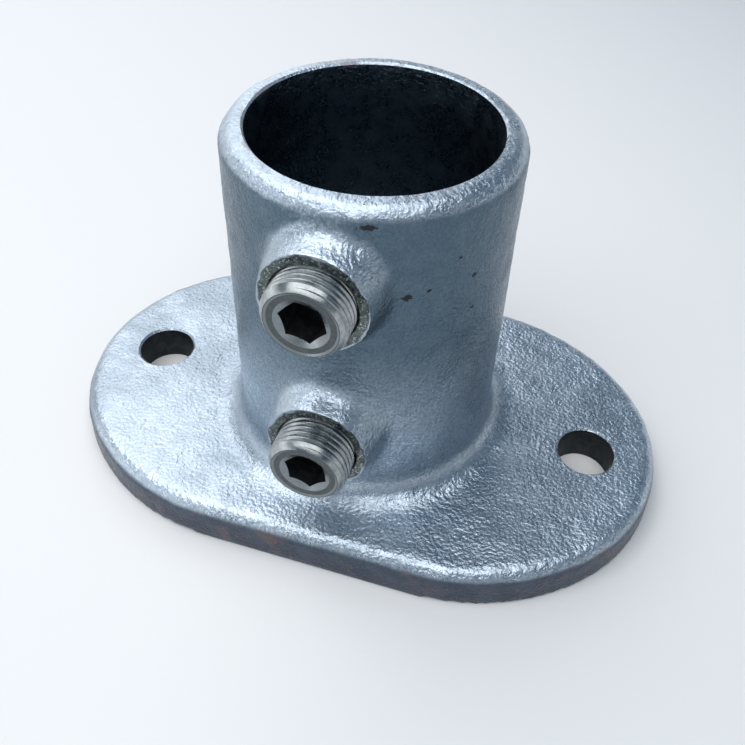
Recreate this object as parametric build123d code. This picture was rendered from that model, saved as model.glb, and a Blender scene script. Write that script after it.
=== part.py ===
from build123d import *
import os
from math import asin, cos, degrees, radians, tan

# Base flange for a round handrail tube. The tube stands in the socket and is clamped by two set screws.
# Millimetres, +Z up. The origin lies on the tube's axis, at the underside of the base plate.
# The long side of the plate runs along X, and both set screws are driven in from -Y.

# The tube that the socket takes, and the socket round it
tube_diameter = 48.3
tube_clearance = 1.15           # all round, before the screws push the tube against the far wall
socket_wall = 4.9
socket_height = 87.0
rim_outer_chamfer = 2.2
rim_edge_break = 0.3            # where that chamfer meets the rim's top and the socket's side
rim_inner_chamfer = 0.4
foot_blend = 6.4                # between the socket and the base plate
bore_foot_chamfer = 1.0         # at the underside

# Base plate with two fixing holes
plate_length = 145.0
plate_width = 88.5
plate_thickness = 9.5
plate_end_share = 0.915         # radius of the oval's end arcs, as a share of half its width
plate_shoulder_share = 1.175    # radius of the arcs between those and the straight sides
plate_draft = 2.0               # degrees, so that the casting leaves its mould
plate_edge_chamfer = 2.0        # round the top
fixing_hole_diameter = 13.6
fixing_hole_spacing = 111.0
fixing_hole_chamfer = 0.6       # at the top

# Bosses that carry the set screws
upper_screw_below_rim = 17.7    # from the socket's top to the screw's axis
lower_screw_above_plate = 20.8
boss_standout = 5.3             # from the socket's outside to the machined face
boss_wall = 2.5                 # round the thread, at the machined face
boss_draft = 14.0               # degrees, from the screw's axis
boss_blend = 3.6                # between a boss and the socket

# Set screws: 3/8 inch parallel pipe thread, 19 to the inch, with a cup point
thread_diameter = 16.66
thread_clearance = 0.05         # all round, in the tapped hole
screw_length = 15.5
screw_face_diameter = 14.4
screw_face_chamfer_length = 1.3
upper_point_setback = 0.4       # from the wall of the socket's bore to the screw's point
lower_point_setback = 1.8
upper_screw_turn = 46.7         # degrees, from X to the nearest corner of the key's hole
lower_screw_turn = 41.3
key_across_flats = 8.0
key_depth = 8.5
key_countersink_diameter = 10.4
key_countersink_angle = 120.0   # degrees, included
cup_diameter = 9.0
cup_depth = 2.4
point_diameter = 11.0

# What follows from those sizes
bore_radius = tube_diameter / 2 + tube_clearance
socket_radius = bore_radius + socket_wall
thread_radius = thread_diameter / 2
boss_face_radius = thread_radius + boss_wall
boss_face_distance = socket_radius + boss_standout
upper_screw_height = socket_height - upper_screw_below_rim
lower_screw_height = plate_thickness + lower_screw_above_plate
screw_heights = (upper_screw_height, lower_screw_height)
UP = (Align.CENTER, Align.CENTER, Align.MIN)


def outward(height, distance):
    """The plane square to a screw's axis, looking out of its hole, at a distance from the tube's axis."""
    return Plane(origin=(0, -distance, height), x_dir=(1, 0, 0), z_dir=(0, -1, 0))


def ring_edges(solid, radius, height):
    """The level circular edges of one radius at one height."""
    def on_ring(edge):
        return (edge.geom_type == GeomType.CIRCLE and abs(edge.radius - radius) < 0.01
                and abs(edge.center(CenterOf.BOUNDING_BOX).Z - height) < 0.01)
    return solid.edges().filter_by(on_ring)


def broken_rim(solid):
    """The socket's outer rim, chamfered, with both edges of that chamfer broken in their turn."""
    solid = chamfer(ring_edges(solid, socket_radius, socket_height), rim_outer_chamfer)
    shoulders = (ring_edges(solid, socket_radius - rim_outer_chamfer, socket_height)
                 + ring_edges(solid, socket_radius, socket_height - rim_outer_chamfer))
    return chamfer(shoulders, rim_edge_break)


def plate_outline():
    """The plate's oval: a quarter of end arc, shoulder arc and straight side, mirrored both ways."""
    half_width = plate_width / 2
    end_radius = plate_end_share * half_width
    shoulder_radius = plate_shoulder_share * half_width
    end_x = plate_length / 2 - end_radius
    shoulder_y = half_width - shoulder_radius
    meeting = asin(-shoulder_y / (shoulder_radius - end_radius))
    shoulder_x = end_x - (shoulder_radius - end_radius) * cos(meeting)
    with BuildSketch() as oval:
        with BuildLine():
            CenterArc((end_x, 0), end_radius, 0, degrees(meeting))
            CenterArc((shoulder_x, shoulder_y), shoulder_radius, degrees(meeting), 90 - degrees(meeting))
            Line((shoulder_x, half_width), (0, half_width))
            mirror(about=Plane.YZ)
            mirror(about=Plane.XZ)
        make_face()
    return oval.sketch


def base_plate():
    """The oval plate, narrower at its top by the draft, with the top's edge broken."""
    plate = extrude(plate_outline(), plate_thickness, taper=plate_draft).clean()
    return chamfer(plate.faces().sort_by(Axis.Z)[-1].edges(), plate_edge_chamfer)


def boss_blank():
    """A drafted round boss, from inside the socket's wall to its machined face."""
    depth = boss_face_distance - bore_radius
    foot_radius = boss_face_radius + depth * tan(radians(boss_draft))
    return Cone(foot_radius, boss_face_radius, depth, align=UP)


def casting_blank():
    """Plate, socket and bosses as one body, blended together, before any hole is made."""
    blank = broken_rim(base_plate() + Cylinder(socket_radius, socket_height, align=UP))
    blank = fillet(ring_edges(blank, socket_radius, plate_thickness), foot_blend)
    for height in screw_heights:
        blank += outward(height, bore_radius) * boss_blank()

        def on_seam(edge):
            reach = edge.center(CenterOf.BOUNDING_BOX) - Vector(0, -socket_radius, height)
            return edge.geom_type == GeomType.BSPLINE and reach.length < boss_face_radius
        blank = fillet(blank.edges().filter_by(on_seam), boss_blend)
    return blank


def flange_casting():
    """The whole galvanised casting, bored for the tube and drilled for its screws and fixings."""
    casting = casting_blank()
    casting -= Cylinder(bore_radius, socket_height, align=UP)
    casting = chamfer(ring_edges(casting, bore_radius, socket_height), rim_inner_chamfer)
    casting = chamfer(ring_edges(casting, bore_radius, 0), bore_foot_chamfer)
    for height in screw_heights:
        tapped_hole = Cylinder(thread_radius + thread_clearance, boss_face_distance, align=UP)
        casting -= outward(height, 0) * tapped_hole
    for side in (-1, 1):
        fixing_hole = Cylinder(fixing_hole_diameter / 2, plate_thickness, align=UP)
        casting -= Pos(X=side * fixing_hole_spacing / 2) * fixing_hole
    return chamfer(ring_edges(casting, fixing_hole_diameter / 2, plate_thickness), fixing_hole_chamfer)


def set_screw():
    """One set screw along Z, its cup point at the origin and its key's hole at the far end."""
    point_length = (thread_radius - point_diameter / 2) / 2
    with BuildPart() as screw:
        with BuildSketch(Plane.XZ):
            with BuildLine():
                Polyline(
                    (0, cup_depth),
                    (cup_diameter / 2, 0),
                    (point_diameter / 2, 0),
                    (thread_radius, point_length),
                    (thread_radius, screw_length - screw_face_chamfer_length),
                    (screw_face_diameter / 2, screw_length),
                    (0, screw_length),
                    close=True,
                )
            make_face()
        revolve(axis=Axis.Z)
    key_corner = RegularPolygon(key_across_flats / 2, 6, major_radius=False)
    key_hole = Pos(Z=screw_length - key_depth) * extrude(key_corner, key_depth)
    sink_depth = key_countersink_diameter / 2 / tan(radians(key_countersink_angle / 2))
    countersink = Pos(Z=screw_length) * Cone(0, key_countersink_diameter / 2, sink_depth,
                                             align=(Align.CENTER, Align.CENTER, Align.MAX))
    return screw.part - key_hole - countersink


def seated_screw(height, point_setback, turn):
    """One set screw turned into its boss, until its point is the setback short of the bore."""
    return outward(height, bore_radius + point_setback) * Rot(Z=turn) * set_screw()


pieces = {
    "flange_casting": flange_casting(),
    "upper_set_screw": seated_screw(upper_screw_height, upper_point_setback, upper_screw_turn),
    "lower_set_screw": seated_screw(lower_screw_height, lower_point_setback, lower_screw_turn),
}

os.makedirs("parts", exist_ok=True)
for name, piece in pieces.items():
    export_step(piece, f"parts/{name}.step")
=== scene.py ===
from math import pi, radians, sqrt

import bpy
import numpy as np
from mathutils import Matrix, Vector


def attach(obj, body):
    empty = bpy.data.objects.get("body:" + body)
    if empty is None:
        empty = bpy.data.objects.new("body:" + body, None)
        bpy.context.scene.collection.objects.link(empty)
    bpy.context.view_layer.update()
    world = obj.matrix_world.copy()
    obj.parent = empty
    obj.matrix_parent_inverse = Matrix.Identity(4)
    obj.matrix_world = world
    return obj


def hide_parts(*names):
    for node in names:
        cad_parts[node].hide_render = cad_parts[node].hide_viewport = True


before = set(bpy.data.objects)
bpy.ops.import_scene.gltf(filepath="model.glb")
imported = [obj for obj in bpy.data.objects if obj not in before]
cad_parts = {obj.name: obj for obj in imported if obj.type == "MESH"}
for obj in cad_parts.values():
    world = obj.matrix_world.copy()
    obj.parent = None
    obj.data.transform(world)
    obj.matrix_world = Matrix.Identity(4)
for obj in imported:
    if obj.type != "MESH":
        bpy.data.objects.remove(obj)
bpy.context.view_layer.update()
bpy.ops.object.select_all(action="DESELECT")

# ---------------------------------------------------------------------------------------------
# The casting: oval base plate, tube socket and two screw bosses in one piece of malleable iron,
# hot-dip galvanised all over, so its edges are soft and its skin is lumpy. The two boss faces are
# milled flat and their holes are tapped after the zinc, which leaves bare iron with a torn rim.
# ---------------------------------------------------------------------------------------------
BORE_RADIUS = 0.0253
SOCKET_RADIUS = 0.0302
SOCKET_HEIGHT = 0.087
PLATE_THICKNESS = 0.0095
PLATE_HALF_WIDTH = 0.04425
END_RADIUS, END_X = 0.0405, 0.0320
SHOULDER_RADIUS, SHOULDER_X, SHOULDER_Y = 0.0520, 0.0235, -0.00775
BOSS_FACE_RADIUS = 0.01083
BOSS_FACE_Y = -0.0355
SCREW_HEIGHTS = (0.0693, 0.0303)
TAPPED_HOLE_RADIUS = 0.00838
FIXING_HOLE_RADIUS = 0.0068
FIXING_HOLE_X = 0.0555
VOXEL = 0.0007


def select_only(*things):
    """Make these objects the only ones selected, and the first one active."""
    bpy.ops.object.select_all(action="DESELECT")
    for thing in things:
        thing.select_set(True)
    bpy.context.view_layer.objects.active = things[0]


def join(*things):
    """Several objects made one."""
    select_only(*things)
    bpy.ops.object.join()
    return things[0]


def apply_modifier(thing, kind, **settings):
    """Add one modifier with these settings and apply it at once."""
    select_only(thing)
    modifier = thing.modifiers.new(kind.lower(), kind)
    for name, value in settings.items():
        setattr(modifier, name, value)
    bpy.ops.object.modifier_apply(modifier=modifier.name)


def cut(thing, cutter, material=None, operation="DIFFERENCE"):
    """Boolean one closed solid with another, which is then thrown away."""
    cutter.data.materials.clear()
    if material:
        cutter.data.materials.append(material)
    apply_modifier(thing, "BOOLEAN", object=cutter, operation=operation, solver="EXACT",
                   material_mode="TRANSFER")
    bpy.data.objects.remove(cutter)


def turned(outline, axis="Z", centre=(0, 0), facets=128):
    """A closed turned solid along Z, or along Y at a centre in X and Z, from (place, radius) pairs."""
    (start, first), (second, _), *_ = outline
    bpy.ops.object.select_all(action="DESELECT")
    bpy.ops.mesh.primitive_cylinder_add(vertices=facets, radius=first, depth=second - start,
                                        location=(0, 0, (start + second) / 2))
    made = bpy.context.object
    bpy.ops.object.transform_apply()
    bpy.context.tool_settings.mesh_select_mode = (False, False, True)
    bpy.ops.object.mode_set(mode="EDIT")
    bpy.ops.mesh.select_all(action="DESELECT")
    bpy.ops.object.mode_set(mode="OBJECT")
    for face in made.data.polygons:
        face.select = face.normal.z > 0.9
    bpy.ops.object.mode_set(mode="EDIT")
    shrink = outline[1][1] / first
    bpy.ops.transform.resize(value=(shrink, shrink, 1), center_override=(0, 0, 0))
    for (z0, r0), (z1, r1) in zip(outline[1:], outline[2:]):
        bpy.ops.mesh.extrude_region_move(TRANSFORM_OT_translate={"value": (0, 0, z1 - z0)})
        bpy.ops.transform.resize(value=(r1 / r0, r1 / r0, 1), center_override=(0, 0, 0))
    bpy.ops.object.mode_set(mode="OBJECT")
    turn = Matrix.Rotation(-pi / 2, 4, "X") if axis == "Y" else Matrix.Identity(4)
    place = (centre[0], 0, centre[1]) if axis == "Y" else (centre[0], centre[1], 0)
    made.data.transform(Matrix.Translation(place) @ turn)
    return made


def cloud(name, size, depth):
    """A cloudy texture for lumps of one size."""
    texture = bpy.data.textures.new(name, "CLOUDS")
    texture.noise_scale = size
    texture.noise_depth = depth
    return texture


def points_of(mesh):
    """The places of a mesh's vertices, one row each."""
    places = np.empty(len(mesh.vertices) * 3)
    mesh.vertices.foreach_get("co", places)
    return places.reshape(-1, 3)


def weigh(thing, name, weights):
    """A vertex group with these weights, in steps of a tenth."""
    group = thing.vertex_groups.new(name=name)
    tenths = np.round(np.clip(weights, 0, 1) * 10).astype(int)
    for step in range(1, 11):
        group.add(np.nonzero(tenths == step)[0].tolist(), step / 10, "REPLACE")


def new_material(name):
    """A node material, its tree, its Principled BSDF and its Object coordinates."""
    material = bpy.data.materials.new(name)
    material.use_nodes = True
    tree = material.node_tree
    return material, tree, tree.nodes["Principled BSDF"], node(tree, "ShaderNodeTexCoord").outputs["Object"]


def plug_in(tree, socket, value):
    """Link a socket to another, or set its value."""
    if isinstance(value, bpy.types.NodeSocket):
        tree.links.new(value, socket)
    else:
        socket.default_value = value


def node(tree, kind, inputs=None, **settings):
    """Add a shader node, set its properties, and link or set its inputs."""
    made = tree.nodes.new(kind)
    for name, value in settings.items():
        setattr(made, name, value)
    for name, value in (inputs or {}).items():
        plug_in(tree, made.inputs[name], value)
    return made


def maths(tree, operation, *values):
    """One Math node's result."""
    return node(tree, "ShaderNodeMath", dict(enumerate(values)), operation=operation).outputs[0]


def between(tree, value, low, high):
    """A mask that rises softly from 0 at one value to 1 at another."""
    return node(tree, "ShaderNodeMapRange", {"Value": value, "From Min": low, "From Max": high},
                interpolation_type="SMOOTHSTEP").outputs[0]


def mix_colour(tree, mask, first, second):
    """Mix two colours by a mask."""
    return node(tree, "ShaderNodeMix", {0: mask, 6: first, 7: second}, data_type="RGBA").outputs[2]


# Patchy variation, as zinc, tarnish and handling leave it: a noise that is cut to a soft-edged mask
patches = bpy.data.node_groups.new("patches", "ShaderNodeTree")
for name, kind in (("Vector", "Vector"), ("Scale", "Float"), ("Detail", "Float"), ("From", "Float"),
                   ("To", "Float")):
    patches.interface.new_socket(name, in_out="INPUT", socket_type="NodeSocket" + kind)
patches.interface.new_socket("Mask", in_out="OUTPUT", socket_type="NodeSocketFloat")
entry = node(patches, "NodeGroupInput").outputs
noise = node(patches, "ShaderNodeTexNoise", {"Vector": entry["Vector"], "Scale": entry["Scale"],
                                             "Detail": entry["Detail"], "Roughness": 0.55})
node(patches, "NodeGroupOutput",
     {"Mask": between(patches, noise.outputs[0], entry["From"], entry["To"])})


def patch_mask(tree, vector, scale, detail, low, high):
    """One set of patches, by its size and where its soft edge begins and ends."""
    inputs = {"Vector": vector, "Scale": scale, "Detail": detail, "From": low, "To": high}
    made = node(tree, "ShaderNodeGroup", node_tree=patches)
    for name, value in inputs.items():
        plug_in(tree, made.inputs[name], value)
    return made.outputs["Mask"]


# The rough casting is the CAD solid with its bore and holes filled, melted into one soft skin
casting = bpy.data.objects.new("galvanised_casting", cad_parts["flange_casting"].data.copy())
bpy.context.collection.objects.link(casting)
casting.data.materials.clear()
select_only(casting)
bpy.ops.object.mode_set(mode="EDIT")
bpy.ops.mesh.select_all(action="SELECT")
bpy.ops.mesh.remove_doubles(threshold=0.000005)
bpy.ops.object.mode_set(mode="OBJECT")
MACHINING_ALLOWANCE = 0.0008
SPARE_RADIUS = 0.0009
PLUG_END_Y = -0.02
core_radius = BORE_RADIUS + SPARE_RADIUS
plug_radius = FIXING_HOLE_RADIUS + SPARE_RADIUS
join(casting, turned([(0, core_radius), (SOCKET_HEIGHT, core_radius)]),
     *[turned([(BOSS_FACE_Y - MACHINING_ALLOWANCE, BOSS_FACE_RADIUS), (PLUG_END_Y, BOSS_FACE_RADIUS)],
              "Y", (0, height)) for height in SCREW_HEIGHTS],
     *[turned([(0, plug_radius), (PLATE_THICKNESS, plug_radius)], centre=(side * FIXING_HOLE_X, 0))
       for side in (-1, 1)])
apply_modifier(casting, "REMESH", mode="VOXEL", voxel_size=VOXEL, use_smooth_shade=True)

# Cast and dipped edges are round, most of all the top edge of the plate and the socket's rim. The
# plate's oval has straight sides, an arc at each end and four shoulder arcs between them.
SOFT_EDGE_WIDTH = 0.0055
SOFT_EDGE_FADE = 0.002
SOFT_EDGE_FOOT_Z = 0.0035
SOFT_EDGE_HEAD_Z = PLATE_THICKNESS + 0.0006
SOFT_RIM_HEIGHT = 0.0045
MOUTH_MARGIN = 0.0012
x, y, z = points_of(casting.data).T
along, across = np.abs(x), np.abs(y)
from_end = END_RADIUS - np.hypot(along - END_X, across)
from_shoulder = SHOULDER_RADIUS - np.hypot(along - SHOULDER_X, across - SHOULDER_Y)
at_end = across * (END_X - SHOULDER_X) < -SHOULDER_Y * (along - END_X)
from_arc = np.where(at_end, from_end, from_shoulder)
from_edge = np.where(along < SHOULDER_X, PLATE_HALF_WIDTH - across, from_arc)
plate_edge = np.clip((SOFT_EDGE_WIDTH - from_edge) / SOFT_EDGE_FADE, 0, 1)
plate_edge = plate_edge * (z > SOFT_EDGE_FOOT_Z) * (z < SOFT_EDGE_HEAD_Z)
rim = (z > SOCKET_HEIGHT - SOFT_RIM_HEIGHT) * (np.hypot(x, y) > BORE_RADIUS + MOUTH_MARGIN)
weigh(casting, "soft_edges", np.maximum(plate_edge, rim))
apply_modifier(casting, "SMOOTH", factor=0.5, iterations=5)
apply_modifier(casting, "SMOOTH", factor=0.5, iterations=7, vertex_group="soft_edges")

# The zinc lies in lumps: broad waves everywhere but on the flat underside, and small pimples on the
# plate's top and, a little flatter, on the socket's rim
UNDERSIDE_Z, UNDERSIDE_FADE = 0.0004, 0.0015
PIMPLES_FROM_Z, PIMPLES_TO_Z, PIMPLES_FADE = 0.0085, 0.0125, 0.003
RIM_PIMPLES_HEIGHT, RIM_PIMPLES = 0.003, 0.7
x, y, z = points_of(casting.data).T
skin = np.clip((z - UNDERSIDE_Z) / UNDERSIDE_FADE, 0, 1)
level = np.clip((PIMPLES_TO_Z - z) / PIMPLES_FADE, 0, 1) * (z > PIMPLES_FROM_Z)
weigh(casting, "skin", skin)
weigh(casting, "pimply", np.maximum(level, RIM_PIMPLES * (z > SOCKET_HEIGHT - RIM_PIMPLES_HEIGHT)))
for name, size, depth, lift, group in (("waves", 0.014, 1, 0.00045, "skin"),
                                       ("lumps", 0.0042, 2, 0.00030, "skin"),
                                       ("pimples", 0.0016, 1, 0.00022, "pimply")):
    apply_modifier(casting, "DISPLACE", texture=cloud(name, size, depth), texture_coords="LOCAL",
                   strength=lift, mid_level=0.5, vertex_group=group)

# Zinc: bluish grey, with light and shade painted in: a pale lit colour on what lies level, a painted
# reflection low on the socket, and painted shade on upright walls, which also carry more fine grey patches.
# The plate's side has the darkest painted shade.
PALE_LIT_ZINC = (0.52, 0.60, 0.68, 1)
SHADED_WALL_ZINC = (0.100, 0.150, 0.190, 1)
SHADED_ZINC = (0.070, 0.105, 0.145, 1)
SHADED_EDGE_ZINC = (0.075, 0.085, 0.11, 1)
REFLECTION_FROM_Z, REFLECTION_TO_Z = 0.058, 0.018
ABOVE_PLATE_Z = 0.011
SKIRT_TOP_Z, SKIRT_FULL_Z = 0.0086, 0.0070
zinc, tree, shader, place = new_material("hot_dip_zinc")
axes = node(tree, "ShaderNodeSeparateXYZ", {0: place}).outputs
facing = node(tree, "ShaderNodeSeparateXYZ", {0: node(tree, "ShaderNodeTexCoord").outputs["Normal"]})
upturned = between(tree, facing.outputs["Z"], 0.15, 0.75)
broad = patch_mask(tree, place, 60, 3, 0.36, 0.66)
middle = patch_mask(tree, place, 240, 4, 0.40, 0.64)
fine = patch_mask(tree, place, 1900, 3, 0.42, 0.62)
# Painted reflection: the socket's wall is painted paler lower down, fading out just above the plate
painted_reflection = maths(tree, "MULTIPLY", between(tree, axes["Z"], REFLECTION_FROM_Z, REFLECTION_TO_Z),
                 between(tree, axes["Z"], PLATE_THICKNESS, ABOVE_PLATE_Z))
lean = maths(tree, "SUBTRACT", 1.0, upturned)
# Painted light and shade: faces that turn up, and the painted reflection, take the pale lit colour, and
# walls take the shaded one
colour = mix_colour(tree, maths(tree, "MAXIMUM", upturned, painted_reflection), SHADED_WALL_ZINC, PALE_LIT_ZINC)
# Painted shade on the plate's side, low down. The same band is also where rust lies on the edge.
edge_shade_and_rust = maths(tree, "MULTIPLY", between(tree, axes["Z"], SKIRT_TOP_Z, SKIRT_FULL_Z), lean)
colour = mix_colour(tree, edge_shade_and_rust, colour, SHADED_EDGE_ZINC)
broad = maths(tree, "MULTIPLY", broad, maths(tree, "MULTIPLY_ADD", upturned, 0.18, 0.16))
colour = mix_colour(tree, broad, colour, SHADED_ZINC)
pale = maths(tree, "MULTIPLY", middle, maths(tree, "MULTIPLY_ADD", upturned, 0.11, 0.05))
colour = mix_colour(tree, pale, colour, PALE_LIT_ZINC)
grey = maths(tree, "MULTIPLY", fine, maths(tree, "MULTIPLY_ADD", lean, 0.30, 0.12))
colour = mix_colour(tree, grey, colour, SHADED_ZINC)

# Small black pits, where the zinc did not take: centre on the socket's wall, half width, half height
PIT_BLACK = (0.012, 0.013, 0.016, 1)
FAR_AWAY = 9.0
PITS = (((0.0079, -0.0291, 0.0834), 0.0019, 0.0007), ((0.0057, -0.0297, 0.0790), 0.0013, 0.0008),
        ((0.0148, -0.0264, 0.0678), 0.0012, 0.0009), ((0.0251, -0.0168, 0.0687), 0.0008, 0.0007),
        ((0.0184, -0.0240, 0.0686), 0.0009, 0.0004), ((0.0254, -0.0163, 0.0604), 0.0007, 0.0003),
        ((0.0227, -0.0199, 0.0745), 0.0005, 0.0004))
nearest = FAR_AWAY
for centre, width, tall in PITS:
    offset = node(tree, "ShaderNodeVectorMath", {0: place, 1: centre}, operation="SUBTRACT").outputs[0]
    offset = node(tree, "ShaderNodeVectorMath", {0: offset, 1: (1 / width, 1 / width, 1 / tall)},
                  operation="MULTIPLY").outputs[0]
    reach = node(tree, "ShaderNodeVectorMath", {0: offset}, operation="LENGTH").outputs["Value"]
    nearest = maths(tree, "MINIMUM", reach, nearest)
ragged = node(tree, "ShaderNodeTexNoise", {"Vector": place, "Scale": 1500, "Detail": 3}).outputs[0]
nearest = maths(tree, "MULTIPLY_ADD", ragged, 1.9, maths(tree, "SUBTRACT", nearest, 0.95))
pits = maths(tree, "SUBTRACT", 1.0, between(tree, nearest, 0.55, 0.95))
colour = mix_colour(tree, pits, colour, PIT_BLACK)

# Rust: a breath of it on the mouth's inner lip and low on the plate's edge
RUST_BROWN = (0.16, 0.055, 0.04, 1)
LIP_OUTER_RADIUS, LIP_FULL_RADIUS = 0.0266, 0.0256
LIP_FOOT_Z, LIP_FULL_Z = 0.0855, 0.0865
flat_place = node(tree, "ShaderNodeCombineXYZ", {"X": axes["X"], "Y": axes["Y"]}).outputs[0]
from_axis = node(tree, "ShaderNodeVectorMath", {0: flat_place}, operation="LENGTH").outputs["Value"]
lip = maths(tree, "MULTIPLY", between(tree, from_axis, LIP_OUTER_RADIUS, LIP_FULL_RADIUS),
            between(tree, axes["Z"], LIP_FOOT_Z, LIP_FULL_Z))
rust = maths(tree, "MULTIPLY", maths(tree, "MAXIMUM", lip, edge_shade_and_rust),
             patch_mask(tree, place, 190, 4, 0.56, 0.68))
colour = mix_colour(tree, maths(tree, "MULTIPLY", rust, 0.40), colour, RUST_BROWN)
tree.links.new(colour, shader.inputs["Base Color"])
oxide = maths(tree, "MULTIPLY", upturned, 0.06)
dull = maths(tree, "MAXIMUM", oxide, maths(tree, "MAXIMUM", pits, maths(tree, "MULTIPLY", rust, 0.7)))
tree.links.new(maths(tree, "SUBTRACT", 1.0, dull), shader.inputs["Metallic"])
rough = maths(tree, "MULTIPLY_ADD", middle, 0.08, 0.25)
rough = maths(tree, "MULTIPLY_ADD", fine, 0.10, rough)
rough = maths(tree, "MAXIMUM", rough, maths(tree, "MULTIPLY", pits, 0.8))
tree.links.new(rough, shader.inputs["Roughness"])

# Bumps: pimples, most of all on what lies level, and streaks that run down the wall and out over
# the foot
on_level = node(tree, "ShaderNodeMapRange", {"Value": axes["Z"], "From Min": 0.0098, "From Max": 0.0115,
                                             "To Min": 1.0, "To Max": 0.30}).outputs[0]
pimples = node(tree, "ShaderNodeTexNoise", {"Vector": place, "Scale": 1250, "Detail": 1,
                                            "Roughness": 0.4}).outputs[0]
grain = node(tree, "ShaderNodeTexNoise", {"Vector": place, "Scale": 3000, "Detail": 2,
                                          "Roughness": 0.6}).outputs[0]
turned_by = maths(tree, "ARCTAN2", axes["X"], maths(tree, "MULTIPLY", axes["Y"], -1.0))
round_axis = maths(tree, "MULTIPLY", turned_by, SOCKET_RADIUS)
STREAK_SHARE = 0.2
run_down = node(tree, "ShaderNodeCombineXYZ",
                {"X": round_axis, "Y": maths(tree, "MULTIPLY", from_axis, STREAK_SHARE),
                 "Z": maths(tree, "MULTIPLY", axes["Z"], STREAK_SHARE)}).outputs[0]
streaks = node(tree, "ShaderNodeTexNoise", {"Vector": run_down, "Scale": 1500, "Detail": 3}).outputs[0]
off_plate = between(tree, axes["Z"], 0.0094, 0.0102)
on_wall = maths(tree, "MULTIPLY", between(tree, axes["Z"], 0.016, 0.026), 0.50)
height = maths(tree, "MULTIPLY", pimples, maths(tree, "ADD", on_level, on_wall))
height = maths(tree, "MULTIPLY_ADD", maths(tree, "MULTIPLY", streaks, off_plate), 0.35, height)
height = maths(tree, "MULTIPLY_ADD", grain, 0.35, height)
height = maths(tree, "MULTIPLY_ADD", pits, -0.8, height)
bump = node(tree, "ShaderNodeBump", {"Height": height, "Strength": 1.0, "Distance": 0.00026})
tree.links.new(bump.outputs[0], shader.inputs["Normal"])
casting.data.materials.append(zinc)

# Iron under the zinc, milled bare on the bosses: grey-green and speckled, with zinc smeared over the
# outer part of each face in a ragged border
IRON_GREY = (0.065, 0.08, 0.08, 1)
IRON_GREEN = (0.15, 0.175, 0.17, 1)
IRON_SPECK = (0.42, 0.46, 0.45, 1)
SMEARED_ZINC = (0.40, 0.46, 0.52, 1)
SMEAR_FROM_RADIUS, SMEAR_FULL_RADIUS = 0.01125, 0.0117
milled_iron, tree, shader, place = new_material("milled_iron")
axes = node(tree, "ShaderNodeSeparateXYZ", {0: place}).outputs
from_screw = FAR_AWAY
for height in SCREW_HEIGHTS:
    square = maths(tree, "POWER", maths(tree, "SUBTRACT", axes["Z"], height), 2.0)
    reach = maths(tree, "SQRT", maths(tree, "MULTIPLY_ADD", axes["X"], axes["X"], square))
    from_screw = maths(tree, "MINIMUM", reach, from_screw)
ragged = node(tree, "ShaderNodeTexNoise", {"Vector": place, "Scale": 420, "Detail": 4}).outputs[0]
border = between(tree, maths(tree, "MULTIPLY_ADD", ragged, 0.0022, from_screw),
                 SMEAR_FROM_RADIUS, SMEAR_FULL_RADIUS)
scale = patch_mask(tree, place, 700, 4, 0.35, 0.68)
speck = patch_mask(tree, place, 2300, 2, 0.56, 0.66)
colour = mix_colour(tree, scale, IRON_GREY, IRON_GREEN)
colour = mix_colour(tree, speck, colour, IRON_SPECK)
colour = mix_colour(tree, border, colour, SMEARED_ZINC)
tree.links.new(colour, shader.inputs["Base Color"])
shader.inputs["Metallic"].default_value = 1.0
tree.links.new(maths(tree, "MULTIPLY_ADD", scale, 0.16, 0.34), shader.inputs["Roughness"])
cuts = node(tree, "ShaderNodeTexNoise", {"Vector": place, "Scale": 1500, "Detail": 3}).outputs[0]
bump = node(tree, "ShaderNodeBump", {"Height": maths(tree, "ADD", cuts, border), "Strength": 0.9,
                                     "Distance": 0.00016})
tree.links.new(bump.outputs[0], shader.inputs["Normal"])
casting.data.materials.append(milled_iron)

# The fixing holes are drilled in the raw casting, and their walls carry painted shade: near black, faintly
# mottled
HOLE_SHADE_BLACK = (0.030, 0.036, 0.040, 1)
HOLE_SHADE_GREY = (0.060, 0.068, 0.075, 1)
painted_hole_shade, tree, shader, place = new_material("painted_hole_shade")
scale = patch_mask(tree, place, 500, 4, 0.42, 0.62)
tree.links.new(mix_colour(tree, scale, HOLE_SHADE_BLACK, HOLE_SHADE_GREY), shader.inputs["Base Color"])
shader.inputs["Metallic"].default_value = 1.0
tree.links.new(maths(tree, "MULTIPLY_ADD", scale, 0.14, 0.46), shader.inputs["Roughness"])
cuts = node(tree, "ShaderNodeTexNoise", {"Vector": place, "Scale": 1600, "Detail": 3}).outputs[0]
bump = node(tree, "ShaderNodeBump", {"Height": cuts, "Strength": 0.8, "Distance": 0.00012})
tree.links.new(bump.outputs[0], shader.inputs["Normal"])
casting.data.materials.append(painted_hole_shade)

# The bore's core leaves a crisp mouth; the drill goes through the plate, with a light countersink.
# Each cutter stands out of the casting by a little at its open ends.
BORE_FLARE = 0.0004
UNDER_FLARE = 0.001
HOLE_FLARE = 0.0005
OVERRUN = 0.001
core = turned([(-OVERRUN, BORE_RADIUS + 2 * UNDER_FLARE), (UNDER_FLARE, BORE_RADIUS),
               (SOCKET_HEIGHT - BORE_FLARE, BORE_RADIUS),
               (SOCKET_HEIGHT + OVERRUN, BORE_RADIUS + BORE_FLARE + OVERRUN)])
cut(casting, core, zinc)
cut(casting, join(*[turned([(-OVERRUN, FIXING_HOLE_RADIUS), (PLATE_THICKNESS + OVERRUN, FIXING_HOLE_RADIUS)],
                           centre=(side * FIXING_HOLE_X, 0)) for side in (-1, 1)]), painted_hole_shade)
cut(casting, join(*[turned([(PLATE_THICKNESS - HOLE_FLARE, FIXING_HOLE_RADIUS),
                            (PLATE_THICKNESS + OVERRUN, FIXING_HOLE_RADIUS + HOLE_FLARE + OVERRUN)],
                           centre=(side * FIXING_HOLE_X, 0)) for side in (-1, 1)]), zinc)

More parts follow.
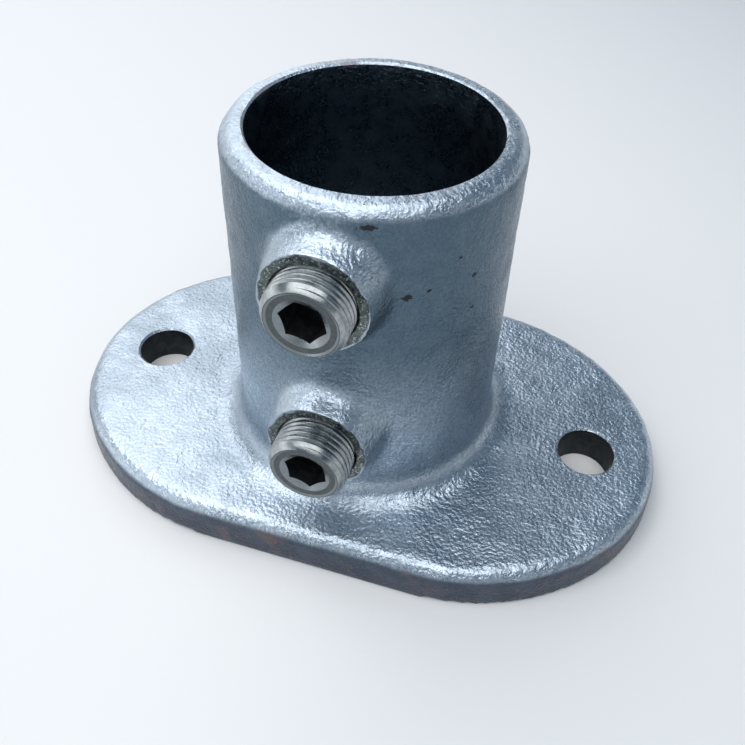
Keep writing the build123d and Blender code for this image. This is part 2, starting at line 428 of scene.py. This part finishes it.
# The mill takes both boss faces to one plane, then come the tapping drill and its countersink
MILL_CUT = (0.030, 0.010, 0.0665)
bpy.ops.mesh.primitive_cube_add(size=1, location=(0, BOSS_FACE_Y - MILL_CUT[1] / 2, sum(SCREW_HEIGHTS) / 2),
                                scale=MILL_CUT)
bpy.ops.object.transform_apply()
cut(casting, bpy.context.object, milled_iron)
DRILL_FROM_Y, DRILL_TO_Y = -0.04, -0.006
MOUTH_FLARE = 0.0004
cut(casting, join(*[turned([(DRILL_FROM_Y, TAPPED_HOLE_RADIUS), (DRILL_TO_Y, TAPPED_HOLE_RADIUS)],
                           "Y", (0, height)) for height in SCREW_HEIGHTS]), milled_iron)
cut(casting, join(*[turned([(BOSS_FACE_Y - OVERRUN, TAPPED_HOLE_RADIUS + MOUTH_FLARE + OVERRUN),
                            (BOSS_FACE_Y + MOUTH_FLARE, TAPPED_HOLE_RADIUS)], "Y", (0, height))
                    for height in SCREW_HEIGHTS]), milled_iron)
select_only(casting)
bpy.ops.object.shade_smooth_by_angle(angle=radians(38))
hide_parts("flange_casting")
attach(casting, "flange")

# ---------------------------------------------------------------------------------------------
# The two set screws: turned steel bars with a pipe thread, a cup at the point and a hexagon hole
# for the key in the outer end. One is modelled, then copied and turned into each boss.
# ---------------------------------------------------------------------------------------------
SCREW_LENGTH = 0.0155
THREAD_RADIUS = 0.00833
THREAD_DEPTH = 0.0006
THREAD_PITCH = 0.001337
KEY_RADIUS = 0.008 / sqrt(3)
KEY_DEPTH = 0.0085
SINK_RADIUS = 0.0053
DISH_DEPTH = 0.00027
DISH_FLAT_RADIUS = 0.0045
CUP_RADIUS = 0.0045
CUP_DEPTH = 0.0024

# One pitch of the thread's outline, drawn up the side, then wound round the axis and trimmed to a
# little more than the bar's length
SPARE_LENGTH = 0.0005
root, crest = THREAD_RADIUS - THREAD_DEPTH, THREAD_RADIUS
outline = [(root, 0), (root, 0.00006), (crest - 0.00015, 0.00034), (crest - 0.00004, 0.00044),
           (crest, 0.00058), (crest, 0.00076), (crest - 0.00004, 0.00090), (crest - 0.00015, 0.00100),
           (root, 0.00128), (root, THREAD_PITCH)]
bpy.ops.object.select_all(action="DESELECT")
bpy.ops.mesh.primitive_plane_add(size=0.001, location=(0, 0, 0))
screw = bpy.context.object
bpy.context.tool_settings.mesh_select_mode = (True, False, False)
bpy.ops.object.mode_set(mode="EDIT")
bpy.ops.mesh.select_all(action="SELECT")
bpy.ops.mesh.merge(type="CENTER")
bpy.ops.transform.translate(value=(root, 0, -2 * THREAD_PITCH))
for (r0, z0), (r1, z1) in zip(outline, outline[1:]):
    bpy.ops.mesh.extrude_vertices_move(TRANSFORM_OT_translate={"value": (r1 - r0, 0, z1 - z0)})
bpy.ops.object.mode_set(mode="OBJECT")
apply_modifier(screw, "SCREW", axis="Z", angle=2 * pi, screw_offset=THREAD_PITCH, iterations=16,
               steps=64, render_steps=64, use_merge_vertices=True, merge_threshold=0.000002)
bpy.ops.object.mode_set(mode="EDIT")
bpy.ops.mesh.select_all(action="SELECT")
bpy.ops.mesh.remove_doubles(threshold=0.000004)
for plane_z, outer, inner in ((SCREW_LENGTH + SPARE_LENGTH, True, False), (-SPARE_LENGTH, False, True)):
    bpy.ops.mesh.select_all(action="SELECT")
    bpy.ops.mesh.bisect(plane_co=(0, 0, plane_z), plane_no=(0, 0, 1), use_fill=True,
                        clear_outer=outer, clear_inner=inner)
bpy.ops.mesh.select_all(action="SELECT")
bpy.ops.mesh.normals_make_consistent(inside=False)
bpy.ops.object.mode_set(mode="OBJECT")

# The bar's own turned outline: point, rounded shoulder at the outer end, narrow rim and a shallow dish
bar_outline = [(0, 0.0055), (0.001415, 0.0086), (0.0137, 0.0086), (0.0142, 0.00817), (0.0148, 0.00777),
               (0.0153, 0.00738), (SCREW_LENGTH, 0.00715), (SCREW_LENGTH, 0.00700),
               (SCREW_LENGTH - 0.00022, 0.00655), (SCREW_LENGTH - DISH_DEPTH, DISH_FLAT_RADIUS)]
cut(screw, turned(bar_outline), operation="INTERSECT")

# The key's hole, its countersink of 120 degrees, and the cup. The two cones stop just short of
# their tips, where the key's hole has cut already or the cup is all but closed.
PUNCH_OVERRUN = 0.002
SINK_NEAR, SINK_FAR = 0.0001, 0.004
CUP_TIP_GAP, CUP_TIP_RADIUS = 0.00005, 0.0001
bpy.ops.object.select_all(action="DESELECT")
key_middle = SCREW_LENGTH - KEY_DEPTH / 2 + PUNCH_OVERRUN / 2
bpy.ops.mesh.primitive_cylinder_add(vertices=6, radius=KEY_RADIUS, depth=KEY_DEPTH + PUNCH_OVERRUN,
                                    rotation=(0, 0, pi / 2), location=(0, 0, key_middle))
bpy.ops.object.transform_apply()
cut(screw, bpy.context.object)
sink_tip = SCREW_LENGTH - DISH_DEPTH - SINK_RADIUS / sqrt(3)
cut(screw, turned([(sink_tip + SINK_NEAR, SINK_NEAR * sqrt(3)), (sink_tip + SINK_FAR, SINK_FAR * sqrt(3))]))
cut(screw, turned([(-OVERRUN, CUP_RADIUS * (1 + OVERRUN / CUP_DEPTH)),
                   (CUP_DEPTH - CUP_TIP_GAP, CUP_TIP_RADIUS)]))
select_only(screw)
bpy.ops.object.shade_smooth_by_angle(angle=radians(17))

# Plain steel under a thin dull plating, stained, with fine turning marks. It is darker in the
# countersink and darkest on the level end face.
STAINED_STEEL = (0.27, 0.295, 0.30, 1)
BRIGHT_STEEL = (0.46, 0.485, 0.485, 1)
SINK_STEEL = (0.24, 0.27, 0.28, 1)
END_FACE_STEEL = (0.085, 0.10, 0.105, 1)
SPECK_STEEL = (0.16, 0.175, 0.18, 1)
steel, tree, shader, place = new_material("set_screw_steel")
facing = node(tree, "ShaderNodeSeparateXYZ", {0: node(tree, "ShaderNodeTexCoord").outputs["Normal"]})
outward = maths(tree, "MULTIPLY", facing.outputs["Y"], -1.0)
sink = between(tree, outward, 0.82, 0.86)
end_face = between(tree, outward, 0.885, 0.93)
stain = patch_mask(tree, place, 300, 4, 0.35, 0.70)
speck = patch_mask(tree, place, 1500, 2, 0.45, 0.60)
colour = mix_colour(tree, stain, STAINED_STEEL, BRIGHT_STEEL)
colour = mix_colour(tree, sink, colour, SINK_STEEL)
colour = mix_colour(tree, end_face, colour, END_FACE_STEEL)
colour = mix_colour(tree, maths(tree, "MULTIPLY", speck, 0.25), colour, SPECK_STEEL)
tree.links.new(colour, shader.inputs["Base Color"])
shader.inputs["Metallic"].default_value = 1.0
tree.links.new(maths(tree, "MULTIPLY_ADD", stain, 0.10, 0.26), shader.inputs["Roughness"])
turning = node(tree, "ShaderNodeTexNoise", {"Vector": place, "Scale": 1800, "Detail": 2}).outputs[0]
bump = node(tree, "ShaderNodeBump", {"Height": turning, "Strength": 0.5, "Distance": 0.00004})
tree.links.new(bump.outputs[0], shader.inputs["Normal"])
screw.data.materials.clear()
screw.data.materials.append(steel)

# The key's hole is coloured near black. Its walls and floor are the faces inside the key's radius that don't
# slope as the countersink does.
KEY_HOLE_BLACK = (0.08, 0.09, 0.10, 1)
WORN_BLACK = (0.15, 0.165, 0.17, 1)
HOLE_FLOOR_Z = SCREW_LENGTH - KEY_DEPTH - 0.0001
black_steel, tree, shader, place = new_material("black_steel")
stain = patch_mask(tree, place, 500, 3, 0.40, 0.65)
tree.links.new(mix_colour(tree, stain, KEY_HOLE_BLACK, WORN_BLACK), shader.inputs["Base Color"])
shader.inputs["Metallic"].default_value = 1.0
shader.inputs["Roughness"].default_value = 0.42
screw.data.materials.append(black_steel)
for face in screw.data.polygons:
    reach = sqrt(face.center.x ** 2 + face.center.y ** 2)
    inside = reach < KEY_RADIUS and face.center.z > HOLE_FLOOR_Z
    face.material_index = int(inside and (face.normal.z < 0.1 or face.normal.z > 0.95))

# Each screw's point stands just clear of the bore, and its key's hole is turned by some degrees
for name, height, point_y, turn in (("upper", SCREW_HEIGHTS[0], -0.0257, 46.7),
                                    ("lower", SCREW_HEIGHTS[1], -0.0271, 41.3)):
    fitted = bpy.data.objects.new(name + "_socket_set_screw", screw.data.copy())
    bpy.context.collection.objects.link(fitted)
    fitted.data.transform(Matrix.Translation((0, point_y, height)) @ Matrix.Rotation(pi / 2, 4, "X")
                          @ Matrix.Rotation(radians(turn), 4, "Z"))
    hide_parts(name + "_set_screw")
    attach(fitted, name + "_screw")
bpy.data.objects.remove(screw)

# ---------------------------------------------------------------------------------------------
# Camera, floor and light. The flange stands on a plain pale floor, seen from the front, a little
# to the right and from well above. A large soft lamp stands behind its left side, another hangs over
# it, and a low one fills in from the front left. The sky is a dim blue above a white horizon.
# ---------------------------------------------------------------------------------------------
CAMERA_PLACE = (0.041439, -0.139622, 0.167244)
CAMERA_TURN, CAMERA_DIP, CAMERA_ROLL = 0.236, 0.722, 0.067
camera_data = bpy.data.cameras.new("camera")
camera_data.sensor_width = 36
camera_data.lens = 40.79
camera_data.shift_x = -0.0412
camera_data.shift_y = -0.0836
camera_data.clip_start = 0.01
camera = bpy.data.objects.new("camera", camera_data)
bpy.context.collection.objects.link(camera)
camera.matrix_world = (Matrix.Translation(CAMERA_PLACE) @ Matrix.Rotation(CAMERA_TURN, 4, "Z")
                       @ Matrix.Rotation(pi / 2 - CAMERA_DIP, 4, "X")
                       @ Matrix.Rotation(CAMERA_ROLL, 4, "Z"))
bpy.context.scene.camera = camera

WHITE = (1, 1, 1, 1)
PAPER_WHITE = (0.80, 0.80, 0.80, 1)
FLOOR_SIZE = 8
FLOOR_Z = -0.0001
FADE_FROM, FADE_TO = 0.42, 1.0
bpy.ops.object.select_all(action="DESELECT")
bpy.ops.mesh.primitive_plane_add(size=FLOOR_SIZE, location=(0, 0, FLOOR_Z))
floor = bpy.context.object
floor.name = "floor"
paper, tree, shader, place = new_material("white_paper")
shader.inputs["Base Color"].default_value = PAPER_WHITE
shader.inputs["Roughness"].default_value = 0.9
shader.inputs["Emission Color"].default_value = WHITE


def seen(tree):
    """1 where a ray comes from the camera, a glossy surface or a clear one, and 0 elsewhere."""
    rays = node(tree, "ShaderNodeLightPath").outputs
    mirrored = maths(tree, "MAXIMUM", rays["Is Glossy Ray"], rays["Is Transmission Ray"])
    return maths(tree, "MAXIMUM", rays["Is Camera Ray"], mirrored)


# Far from the flange the paper fades to plain white, so that the horizon doesn't show
from_middle = node(tree, "ShaderNodeVectorMath", {0: place}, operation="LENGTH").outputs["Value"]
far = between(tree, from_middle, FADE_FROM, FADE_TO)
tree.links.new(maths(tree, "MULTIPLY", seen(tree), far), shader.inputs["Emission Strength"])
floor.data.materials.append(paper)

# The studio is a dim blue overhead, and white low down where it is looked at or mirrored
STUDIO_BLUE = (0.064, 0.128, 0.20, 1)
BLUE_FROM, WHITE_FROM = 0.28, 0.14
world = bpy.data.worlds.new("studio")
world.use_nodes = True
bpy.context.scene.world = world
tree = world.node_tree
toward = node(tree, "ShaderNodeSeparateXYZ", {0: node(tree, "ShaderNodeTexCoord").outputs["Generated"]})
low_down = maths(tree, "MULTIPLY", seen(tree), between(tree, toward.outputs["Z"], BLUE_FROM, WHITE_FROM))
tree.links.new(mix_colour(tree, low_down, STUDIO_BLUE, WHITE), tree.nodes["Background"].inputs["Color"])

# Three soft boxes, all aimed at the lower half of the socket. A box's power is its radiance times pi
# times its area.
AIM = (0, 0, 0.03)
for name, place, wide, tall, radiance, colour in (
        ("back_left_softbox", (-0.385, 0.325, 0.48), 0.74, 0.66, 1.6, (1.0, 0.99, 0.98)),
        ("overhead_softbox", (-0.04, -0.18, 0.60), 0.80, 0.66, 2.5, (1.0, 0.99, 0.98)),
        ("left_softbox", (-0.50, -0.34, 0.16), 0.80, 0.26, 1.1, (0.98, 0.99, 1.0))):
    lamp_data = bpy.data.lights.new(name, "AREA")
    lamp_data.shape = "RECTANGLE"
    lamp_data.size = wide
    lamp_data.size_y = tall
    lamp_data.energy = radiance * pi * wide * tall
    lamp_data.color = colour
    lamp = bpy.data.objects.new(name, lamp_data)
    bpy.context.collection.objects.link(lamp)
    lamp.location = place
    lamp.rotation_euler = (Vector(place) - Vector(AIM)).to_track_quat("Z", "Y").to_euler()

view = bpy.context.scene.view_settings
view.view_transform = "Standard"
